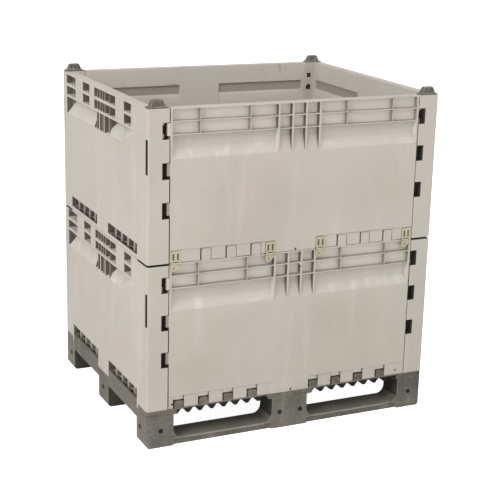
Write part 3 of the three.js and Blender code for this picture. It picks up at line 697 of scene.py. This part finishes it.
def addClipSlots(bm, node):
    # Recessed floors of painted shade in the two slots of the upper leaf, and a disc of painted shade over
    # the hole of the lower one
    low, high = (Vector(corner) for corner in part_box(node))
    middle = (low + high).dot(axesOf(node)[0]) * 500  # half the sum, in millimetres
    if "_leaf_" in node:
        look = clipSlots
        for side in (-1, 1):
            centre = middle + side * look["offset"]
            left, right = centre - look["half"], centre + look["half"]
            addPlate(bm, node, (
                (left, look["low"]), (right, look["low"]), (right, look["high"]), (left, look["high"]),
            ), look["depth"])
    else:
        look = clipSpot
        middle += look["foot"]
        turns = [math.tau * i / look["sides"] for i in range(look["sides"])]
        addPlate(bm, node, [
            (middle + look["radius"] * math.cos(turn), look["drop"] + look["radius"] * math.sin(turn))
            for turn in turns
        ], look["depth"])


def bendSkins(bm, seed, depth):
    # Moves the points inside flat skins in and out by slow noise, as on a cooled moulding
    bm.normal_update()
    moves = []
    for vert in bm.verts:
        normal = vert.normal
        if all(face.normal.dot(normal) > unevenSkin["flat"] for face in vert.link_faces):
            place = vert.co * unevenSkin["scale"]
            place.z *= unevenSkin["along"]
            amount = depth * min(1, abs(vert.co.z - seam["height"]) / seam["fade"])
            moves.append((vert, normal * noise.noise(place + Vector((seed, 0, 0))) * amount))
    for vert, move in moves:
        vert.co += move


footHoles = {
    "height": 0.068, "reach": 0.0068, "shortSide": 0.58,
    "across": (-0.543, -0.045, 0.045, 0.543), "along": (-0.428, 0.0, 0.428),
}


def isHoleRim(place):
    if abs(place.z - footHoles["height"]) > footHoles["reach"]:
        return False
    onLong = any(abs(place.x - x) < footHoles["reach"] for x in footHoles["across"])
    onShort = any(abs(place.y - y) < footHoles["reach"] for y in footHoles["along"])
    return onLong or onShort and abs(place.x) > footHoles["shortSide"]


def weighEdges(bm, atSeam):
    # Marks the edges that the mould rounds; the joint between deck and skids stays closed
    layer = bm.edges.layers.float.new("bevel_weight_edge")
    for edge in bm.edges:
        if len(edge.link_faces) != 2 or edge.calc_face_angle() < math.radians(meshing["cornerAngle"]):
            continue
        onSeam = atSeam and all(abs(vert.co.z - seam["height"]) < seam["reach"] for vert in edge.verts)
        atHole = atSeam and all(isHoleRim(vert.co) for vert in edge.verts)
        edge[layer] = 0.0 if onSeam or atHole else 1.0


def copySolid(node, name, kind):
    cell = mouldings[kind]["cell"]
    bm = bmesh.new()
    bm.from_mesh(frame["nodes"][node].data)
    bmesh.ops.remove_doubles(bm, verts=bm.verts, dist=meshing["weld"])
    flat = math.radians(meshing["flatAngle"])
    bmesh.ops.dissolve_limit(bm, angle_limit=flat, verts=bm.verts, edges=bm.edges)
    if cell:
        low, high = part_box(node)
        for axis in range(3):
            if high[axis] - low[axis] > 2 * cell:
                cutGrid(bm, axis, low[axis], high[axis], cell)
    if node in hingedWalls:
        # Edges round the dark band below the slots, where the base's comb shows
        cutPlane(bm, tierBottom["lower"] + combBand["top"] / 1000, 2)
        for side in (-1, 1):
            cutPlane(bm, side * combBand["from"] / 1000, 1)
            cutPlane(bm, side * combBand["to"] / 1000, 1)
    if kind == "deck":
        cutPlane(bm, seam["lip"], 2)
    if kind == "skid":
        cutPlane(bm, -seam["edge"], 1)
        cutPlane(bm, seam["edge"], 1)
    bmesh.ops.triangulate(bm, faces=[face for face in bm.faces if len(face.verts) > 4])
    if kind in ("wall", "skid"):
        bendSkins(bm, unevenSkin["seed"] + len(node), unevenSkin[kind])
    if kind == "wall":
        addWallDetails(bm, node)
    if kind == "clip":
        addClipSlots(bm, node)
    weighEdges(bm, kind in ("deck", "skid"))
    return keepMesh(bm, name)


def keepMesh(bm, name):
    mesh = bpy.data.meshes.new(name)
    bm.to_mesh(mesh)
    bm.free()
    piece = bpy.data.objects.new(name, mesh)
    scene.collection.objects.link(piece)
    return piece


def bakeModifiers(piece):
    graph = bpy.context.evaluated_depsgraph_get()
    mesh = bpy.data.meshes.new_from_object(piece.evaluated_get(graph))
    piece.modifiers.clear()
    old = piece.data
    piece.data = mesh
    bpy.data.meshes.remove(old)


def roundEdges(piece, width, segments):
    bevel = piece.modifiers.new("roundEdges", "BEVEL")
    bevel.width = width
    bevel.segments = segments
    bevel.limit_method = "WEIGHT"
    bevel.use_clamp_overlap = False
    # The rounded edges take the second finish, a lighter colour that stands for rubbed wear and a painted
    # highlight together
    bevel.material = 1
    bakeModifiers(piece)
    for vert in piece.data.vertices:
        vert.co.z = max(vert.co.z, 0.0)  # nothing goes below the floor


def shadeSmooth(piece, angle=32):
    for polygon in piece.data.polygons:
        polygon.use_smooth = True
    piece.data.set_sharp_from_angle(angle=math.radians(angle))


def flattenShading(piece):
    # Large faces keep their own direction, and the rounded edges take up the turn
    flatten = piece.modifiers.new("flattenShading", "WEIGHTED_NORMAL")
    flatten.keep_sharp = True
    bakeModifiers(piece)


# Which finish a face takes: that of the first rule whose ranges all hold
# Walls: u along the wall from its middle ("along" keeps its sign), w in from the outer face and z up from
# the tier's bottom, in millimetres; nu, nw and nz are the face's direction, and "side" and "level" are nw
# and nz without their signs
# Base and clips: x, y and z in millimetres, and "off", the distance from the base's nearest outer face

far = 1e9


def over(low):
    return low, far


def under(high):
    return -far, high


sideways = under(0.45)
longCells = {"z": (385, 566), "w": (0.9, 30)}
shortCells = {"z": (400, 566), "w": (0.9, 28), "u": under(452)}
hookNotches = ((168, 230), (313, 375), (458, 520))
postHoles = ((449, 474), (503, 524))
longWallRules = (
    # cells of the ribbed band and the slope below them, with painted light and shade on their sheets, sides
    # and slopes
    ("sheetPaintedLight", {"z": (385, 465), "w": (0.9, 30), "side": sideways, "u": over(86)}),
    ("ribShade", {**longCells, "side": sideways, "level": over(0.5)}),
    ("ribShade", {**longCells, "side": sideways, "u": over(90)}),
    ("recessShade", {**longCells, "side": sideways}),
    ("sheetPaintedLight", {"z": (472, 566), "w": (15, 30), "nw": under(-0.97)}),
    ("ledgePaintedShade", {"z": (385, 566), "w": (15, 30), "nw": under(-0.97)}),
    ("wallPlastic", {"z": (385, 566), "w": (0.9, 21), "nw": under(-0.5), "u": under(86)}),
    ("slopePaintedLight", {"z": (385, 566), "w": (1.5, 21), "nw": under(-0.5)}),
    # ends towards the posts, and the roofs of the hinge pockets
    ("holeShade", {"u": over(512.3), "w": over(16)}),
    ("recessShade", {"u": over(511), "w": over(1.5), "side": sideways}),
    ("recessShade", {"z": (48, 51), "w": under(3), "nz": under(-0.5)}),
    # middle hole and hinge pockets at the foot, in painted shade, with painted light on the upper part of the
    # pockets
    ("holeShade", {"u": under(6), "z": under(16), "w": (0.8, 11)}),
    ("recessShade", {"z": under(52), "w": (3.4, 39), "nu": over(0.7)}),
    ("recessShade", {"z": under(52), "w": (13, 39)}),
    ("sheetPaintedLight", {"z": (27, 52), "w": (3.4, 39)}),
    ("ribShade", {"z": under(52), "w": (3.4, 39)}),
    # hooks, corner holes, clip seats and the long grooves inside, in painted shade, and the inner faces in
    # painted light
    ("ribShade", {"u": over(515.5), "w": under(3), "nw": under(-0.9)}),
    ("holeShade", {"z": (12, 24), "w": (2.8, 11), "u": over(470)}),
    ("recessShade", {"z": over(535), "w": (0.9, 6), "side": sideways}),
    ("grooveShade", {"z": (453, 494), "w": (31, 33.5), "nw": over(0.9)}),
    ("insidePaintedLight", {"nw": over(0.3)}),
    ("insidePaintedLight", {"w": over(31)}),
)
shortWallRules = (
    # notches for the hooks, the long slot and the square holes inside the posts
    *(("holeShade", {"u": (465, 499.4), "w": (56, 83.4), "z": span}) for span in hookNotches),
    ("holeShade", {"u": (479, 497), "w": over(0.9), "z": (333, 461)}),
    *(("holeShade", {"u": (460.4, 473), "w": (55, 79), "z": span}) for span in postHoles),
    # hinge slots, rim, seals and the gaps at the posts, in painted shade, with painted light on the posts'
    # faces in the gaps
    ("recessShade", {"z": (14, 58), "u": (64, 396), "w": (1.5, 39)}),
    ("holeShade", {"z": over(571.5), "w": (24, 34)}),
    ("ribShade", {"z": over(571.5), "w": (11, 24), "nw": under(-0.9)}),
    ("recessShade", {"z": over(571.5), "w": (11, 24)}),
    ("holeShade", {"u": (465.5, 467), "w": (83.4, 88)}),
    ("sheetPaintedLight", {"u": over(467), "w": (83.4, 84.6), "nw": over(0.9)}),
    ("holeShade", {"u": over(395), "z": under(2.5), "level": over(0.9)}),
    ("holeShade", {"u": over(395), "z": (563, 565), "level": over(0.9)}),
    # painted shade over the rib at the edge of the middle cells
    ("recessShade", {"along": (80, 90), "w": under(0.6), "z": (404, 469), "nw": under(-0.9)}),
    ("recessShade", {"along": (80, 90), "w": (1, 26), "nw": under(-0.9)}),
    # cells of the ribbed band, the slope below them and the long grooves inside, in painted shade and light,
    # and the inner faces in painted light
    ("recessShade", {**shortCells, "side": sideways, "nz": under(0.5)}),
    ("sheetPaintedLight", {**shortCells, "side": sideways}),
    ("recessShade", {**shortCells, "nw": under(-0.97)}),
    ("slopePaintedLight", {**shortCells, "nw": under(-0.5)}),
    ("grooveShade", {"z": (453, 494), "w": (31, 33.5), "nw": over(0.9)}),
    ("insidePaintedLight", {"nw": over(0.3)}),
    ("insidePaintedLight", {"w": over(31), "u": under(459)}),
)
combRule = ("basePlastic", {
    "z": under(combBand["top"] + 0.1), "u": (combBand["from"], combBand["to"]), "w": under(combBand["skin"]),
})
baseRules = (
    # hinge combs on the deck's short sides: painted shade behind the combs and painted light on their fronts
    ("holeShade", {"z": over(151), "x": (572, 576)}),
    ("lipPaintedLight", {"z": over(151), "x": (576, 592), "y": under(396)}),
    # foot holes
    ("holeShade", {"z": (60, 76), "x": (534, 552), "y": over(484), "off": over(1.2)}),
    ("holeShade", {"z": (60, 76), "x": (36, 54), "y": over(484), "off": over(1.2)}),
    ("holeShade", {"z": (61, 127.9), "x": over(585.5), "y": (421, 435), "off": over(1.2)}),
    # teeth and underside of the deck's edge over the fork windows
    ("toothShade", {"z": (127.9, 146.3), "x": (75, 492), "y": over(499), "nz": under(0.5)}),
    ("baseShade", {"z": (127, 148), "x": (75, 492), "off": over(1.2), "nz": under(0.5)}),
    # sills, undersides and inner sides of the fork windows, and the feet's sides under the deck: painted
    # light on the sills and the runners' tops, painted shade on the rest
    ("lipPaintedLight", {"z": (25, 30.5), "x": (74, 490.5), "y": over(491)}),
    ("baseShade", {"z": under(5), "nz": under(-0.25)}),
    ("baseShade", {"z": (40, 127), "x": (74, 491), "nx": over(0.93)}),
    ("baseShade", {"z": (3, 127.5), "y": under(484), "ny": over(0.9)}),
    ("baseEdge", {"z": (29, 64), "x": (74, 492), "nz": over(0.9)}),
)
clipRules = (
    # floors of the slots, the disc of the lower leaf, and the sides
    ("clipShade", {"y": (497.5, 498.3), "ny": over(0.9)}),
    ("clipShade", {"y": (500.15, 500.35), "ny": over(0.9)}),
    ("clipShade", {"y": (496.5, 503.5), "ny": under(0.4)}),
)
outerFaces = {"x": 600, "y": 500}


def pickFinish(rules, values):
    for finish, limits in rules:
        if all(low < values[key] < high for key, (low, high) in limits.items()):
            return finish
    return None


def wallValues(node, place, normal):
    along, inward, reach = axesOf(node)
    u, w = place.dot(along) * 1000, (place.dot(inward) + reach) * 1000
    nw = normal.dot(inward)
    return {
        "along": u, "u": abs(u), "w": w, "z": (place.z - tierBottom[partsOf(node)[0]]) * 1000,
        "nu": abs(normal.dot(along)), "nw": nw, "side": abs(nw), "nz": normal.z, "level": abs(normal.z),
    }


def plainValues(node, place, normal):
    x, y, z = place * 1000
    x, y = abs(x), abs(y)
    return {
        "x": x, "y": y, "z": z, "nx": abs(normal.x), "ny": abs(normal.y), "nz": normal.z,
        "off": min(abs(x - outerFaces["x"]), abs(y - outerFaces["y"])),
    }


def rulesFor(node, kind):
    if kind == "wall":
        short = "left" in node or "right" in node
        return ((combRule,) if node in hingedWalls else ()) + (shortWallRules if short else longWallRules)
    return {"deck": baseRules, "skid": baseRules, "clip": clipRules}.get(kind, ())


def paintFaces(piece, node, kind):
    names = mouldings[kind]["finishes"]
    rules = rulesFor(node, kind)
    measure = wallValues if kind == "wall" else plainValues
    for polygon in piece.data.polygons:
        chosen = pickFinish(rules, measure(node, polygon.center, polygon.normal))
        if chosen:
            polygon.material_index = names.index(chosen)


def mouldPiece(node, kind):
    look = mouldings[kind]
    piece = copySolid(node, node + "_shell", kind)
    for finish in look["finishes"]:
        piece.data.materials.append(materials[finish])
    roundEdges(piece, look["round"], look["segments"])
    paintFaces(piece, node, kind)
    shadeSmooth(piece, look["smooth"])
    flattenShading(piece)
    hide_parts(node)
    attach(piece, bodyOf[node])


def kindOf(node):
    if node.endswith("_wall"):
        return "wall"
    if node.startswith("skid"):
        return "skid"
    if node.endswith("_stud"):
        return "stud"
    if "_clip_leaf" in node or "_clip_base" in node:
        return "clip"
    return "deck" if node == "pallet_deck" else None


rods = {"sides": 24, "smooth": 40}


def roundBar(node):
    # Round rod in place of the faceted one
    low, high = (Vector(corner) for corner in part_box(node))
    size = high - low
    axis = max(range(3), key=lambda i: size[i])
    radius = max(size[i] for i in range(3) if i != axis) / 2
    bm = bmesh.new()
    bmesh.ops.create_cone(
        bm, cap_ends=True, segments=rods["sides"], radius1=radius, radius2=radius, depth=size[axis],
    )
    piece = keepMesh(bm, node + "_round")
    length = Vector([1 if i == axis else 0 for i in range(3)])
    piece.data.transform(Vector((0, 0, 1)).rotation_difference(length).to_matrix().to_4x4())
    piece.data.transform(Matrix.Translation((low + high) / 2))
    piece.data.materials.append(materials["rodSteel"])
    shadeSmooth(piece, rods["smooth"])
    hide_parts(node)
    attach(piece, bodyOf[node])


for nodeName in bodyOf:
    nodeKind = kindOf(nodeName)
    if nodeKind:
        mouldPiece(nodeName, nodeKind)
    else:
        roundBar(nodeName)
print("moulded pieces ready")

# Dished cups of painted shade over the holes of the feet: a dark rim and a near-black dish

holeShadeCups = {"radius": 0.0080, "rim": 0.0096, "sides": 20, "firstDarkRow": 3}
holeShadeRings = (  # radius and height above the foot's face, from the rim's buried edge to the dish's middle
    (holeShadeCups["rim"], -0.002), (holeShadeCups["rim"], 0.00084), (holeShadeCups["rim"] - 0.0005, 0.0014),
    (holeShadeCups["radius"] + 0.0004, 0.0014), (holeShadeCups["radius"], 0.0008), (holeShadeCups["radius"] * 0.4, 0.0),
)


def footHoleSpots():
    # Place and outward direction of every foot hole
    height = footHoles["height"]
    for side in (-1, 1):
        for x in footHoles["across"]:
            yield Vector((x, side * outerFaces["y"] / 1000, height)), Vector((0, side, 0))
    for side in (-1, 1):
        for y in footHoles["along"]:
            yield Vector((side * outerFaces["x"] / 1000, y, height)), Vector((side, 0, 0))


# Builds the cups of painted shade, one over each foot hole
def addHoleShadeCups():
    bm = bmesh.new()
    up = Vector((0, 0, 1))
    for place, out in footHoleSpots():
        across = up.cross(out)
        loops = []
        for radius, height in holeShadeRings:
            loop = []
            for i in range(holeShadeCups["sides"]):
                angle = math.tau * i / holeShadeCups["sides"]
                side = across * math.cos(angle) + up * math.sin(angle)
                loop.append(bm.verts.new(place + side * radius + out * height))
            loops.append(loop)
        for row, (inner, outer) in enumerate(zip(loops, loops[1:])):
            for i in range(holeShadeCups["sides"]):
                after = (i + 1) % holeShadeCups["sides"]
                face = bm.faces.new((inner[i], inner[after], outer[after], outer[i]))
                face.material_index = 1 if row >= holeShadeCups["firstDarkRow"] else 0
        bm.faces.new(loops[-1]).material_index = 1
        bm.faces.new(loops[0][::-1])
    bmesh.ops.recalc_face_normals(bm, faces=bm.faces[:])
    piece = keepMesh(bm, "footHoleShade")
    for finish in ("baseShade", "toothShade"):
        piece.data.materials.append(materials[finish])
    shadeSmooth(piece)
    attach(piece, "base")


addHoleShadeCups()

# Repeated small parts, laid out by one node tree


def makeRepeatTree():
    tree = bpy.data.node_groups.new("repeatedBars", "GeometryNodeTree")
    for label, way, kind in (
        ("Rows", "INPUT", "NodeSocketInt"), ("Columns", "INPUT", "NodeSocketInt"),
        ("Row Length", "INPUT", "NodeSocketFloat"), ("Column Length", "INPUT", "NodeSocketFloat"),
        ("Bar Size", "INPUT", "NodeSocketVector"), ("Finish", "INPUT", "NodeSocketMaterial"),
        ("Geometry", "OUTPUT", "NodeSocketGeometry"),
    ):
        tree.interface.new_socket(name=label, in_out=way, socket_type=kind)
    start = tree.nodes.new("NodeGroupInput")
    end = tree.nodes.new("NodeGroupOutput")
    grid = tree.nodes.new("GeometryNodeMeshGrid")
    bar = tree.nodes.new("GeometryNodeMeshCube")
    spread = tree.nodes.new("GeometryNodeInstanceOnPoints")
    real = tree.nodes.new("GeometryNodeRealizeInstances")
    paint = tree.nodes.new("GeometryNodeSetMaterial")
    for output, node, label in (
        ("Rows", grid, "Vertices X"), ("Columns", grid, "Vertices Y"),
        ("Row Length", grid, "Size X"), ("Column Length", grid, "Size Y"),
        ("Bar Size", bar, "Size"), ("Finish", paint, "Material"),
    ):
        tree.links.new(start.outputs[output], node.inputs[label])
    tree.links.new(grid.outputs["Mesh"], spread.inputs["Points"])
    tree.links.new(bar.outputs["Mesh"], spread.inputs["Instance"])
    tree.links.new(spread.outputs["Instances"], real.inputs["Geometry"])
    tree.links.new(real.outputs["Geometry"], paint.inputs["Geometry"])
    tree.links.new(paint.outputs["Geometry"], end.inputs["Geometry"])
    return tree


def addBars(tree, name, look, centre):
    # Lays out the bars of one dictionary and keeps them as a plain mesh
    piece = bpy.data.objects.new(name, bpy.data.meshes.new(name))
    scene.collection.objects.link(piece)
    modifier = piece.modifiers.new("bars", "NODES")
    modifier.node_group = tree
    values = {
        "Rows": look["rows"], "Columns": look["columns"], "Row Length": look["rowLength"],
        "Column Length": look["columnLength"], "Bar Size": look["size"], "Finish": materials[look["finish"]],
    }
    for item in tree.interface.items_tree:
        if item.in_out == "INPUT":
            modifier[item.identifier] = values[item.name]
    bakeModifiers(piece)
    piece.data.transform(Matrix.Translation((look["shift"], centre, look["height"])))
    if look["round"]:
        bm = bmesh.new()
        bm.from_mesh(piece.data)
        bmesh.ops.bevel(
            bm, geom=bm.edges[:], offset=look["round"], segments=look["segments"],
            affect="EDGES", clamp_overlap=True,
        )
        bm.to_mesh(piece.data)
        bm.free()
    shadeSmooth(piece)
    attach(piece, "base")


barSets = {
    "underRibs": {
        "rows": 2, "columns": 7, "rowLength": 0.5645, "columnLength": 0.300,
        "size": (0.411, 0.004, 0.016), "round": 0, "finish": "baseShade", "centres": (-0.225, 0.225),
        "height": 0.1373, "shift": -0.0005,
    },
    "deckGrips": {
        "rows": 19, "columns": 15, "rowLength": 1.044, "columnLength": 0.84,
        "size": (0.026, 0.008, 0.0016), "round": 0.0006, "segments": 2, "finish": "baseEdge",
        "centres": (0.0,), "height": 0.1504, "shift": 0.0,
    },
}
repeatTree = makeRepeatTree()
for barName, barLook in barSets.items():
    for number, barCentre in enumerate(barLook["centres"]):
        addBars(repeatTree, f"{barName}_{number + 1}", barLook, barCentre)
print("repeated parts ready")
